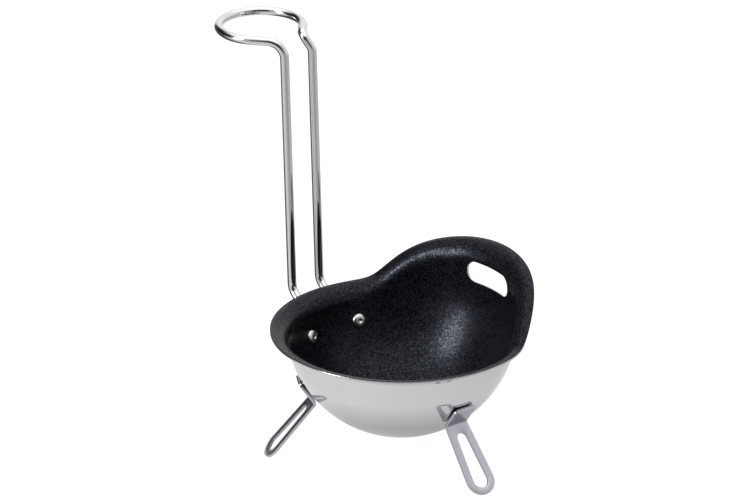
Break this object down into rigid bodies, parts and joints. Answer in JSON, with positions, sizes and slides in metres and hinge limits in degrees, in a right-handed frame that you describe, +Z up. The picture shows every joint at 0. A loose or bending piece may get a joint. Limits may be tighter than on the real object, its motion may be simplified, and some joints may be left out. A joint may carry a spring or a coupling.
{
  "type": "egg poacher pan",
  "caption": "Pan for poaching one egg in a pot: round steel bowl, non-stick inside, flared lip, raised slotted hood, bent slotted feet and a tall wire handle with a ring.",
  "frame": {"origin": "on the floor that the feet stand on, under the axis of the round bowl", "axes": "+Z up, +Y from the bowl's axis towards the handle, +X towards the raised hood"},
  "size_m": [0.1059, 0.1582, 0.1603],
  "materials": {
    "polished_steel": "polished",
    "black_coating": "fine-grained non-stick coating, slightly sparkling",
    "bright_wire": "mirror polished",
    "rivet_steel": "polished",
    "foot_steel": "satin"
  },
  "bodies": {
    "root": {"bowl": "polished_steel", "nonstick_coating": "black_coating", "handle_wire": "bright_wire", "handle_plate": "polished_steel", "rivet_left": "rivet_steel", "rivet_right": "rivet_steel", "front_foot": "foot_steel", "hood_foot": "foot_steel", "side_foot": "foot_steel"}
  },
  "joints": []
}
